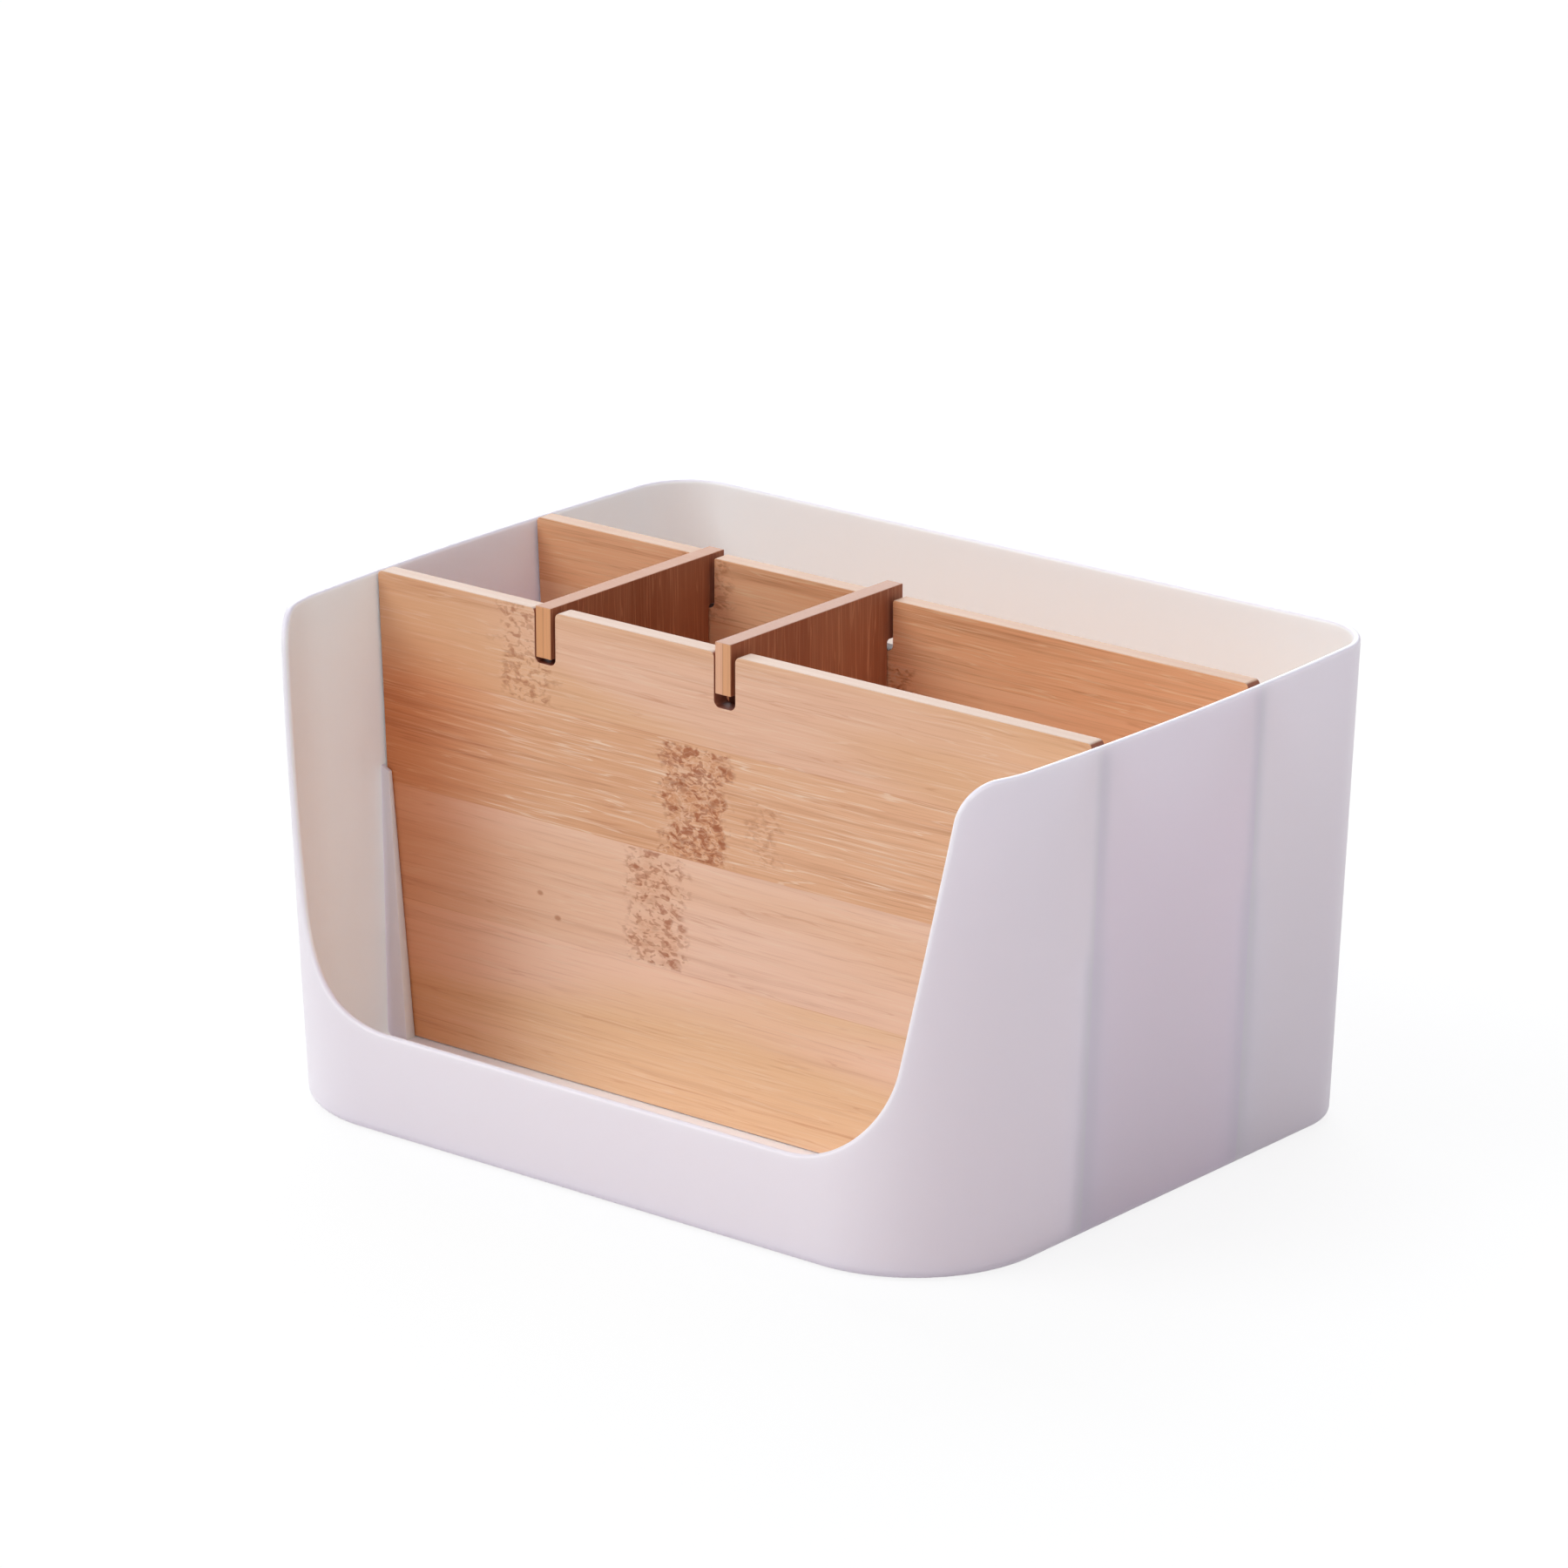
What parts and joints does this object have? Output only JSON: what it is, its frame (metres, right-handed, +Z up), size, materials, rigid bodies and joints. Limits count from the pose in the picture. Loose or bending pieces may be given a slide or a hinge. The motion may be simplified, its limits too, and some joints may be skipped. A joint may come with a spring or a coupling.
{
  "type": "compartment storage box",
  "caption": "Open desk organiser: a white moulded tray with a cut-down front and loose bamboo boards that slot together and lift out.",
  "frame": {"origin": "middle of the tray's flat underside, on the surface it stands on", "axes": "+Z up, +X to the right along the long boards when seen from the low front, -Y towards the low front"},
  "size_m": [0.2542, 0.1906, 0.1403],
  "materials": {
    "tray_plastic": "satin moulded plastic, slightly translucent",
    "bamboo_long": "glued-up bamboo strips, clear satin lacquer, grain along X",
    "bamboo_cross": "glued-up bamboo strips, clear satin lacquer, grain upright"
  },
  "bodies": {
    "tray": {"tray": "tray_plastic"},
    "front_divider": {"front_divider": "bamboo_long"},
    "rear_divider": {"rear_divider": "bamboo_long"},
    "left_cross_divider": {"left_cross_divider": "bamboo_cross"},
    "right_cross_divider": {"right_cross_divider": "bamboo_cross"}
  },
  "joints": [
    {"name": "front_divider_lift", "type": "slide", "parent": "tray", "child": "front_divider", "axis": [0, 0, 1], "range_m": [0, 0.145]},
    {"name": "rear_divider_lift", "type": "slide", "parent": "front_divider", "child": "rear_divider", "axis": [0, 0, 1], "range_m": [0, 0.145]},
    {"name": "left_cross_divider_lift", "type": "slide", "parent": "rear_divider", "child": "left_cross_divider", "axis": [0, 0, 1], "range_m": [0, 0.145]},
    {"name": "right_cross_divider_lift", "type": "slide", "parent": "rear_divider", "child": "right_cross_divider", "axis": [0, 0, 1], "range_m": [0, 0.145]}
  ]
}
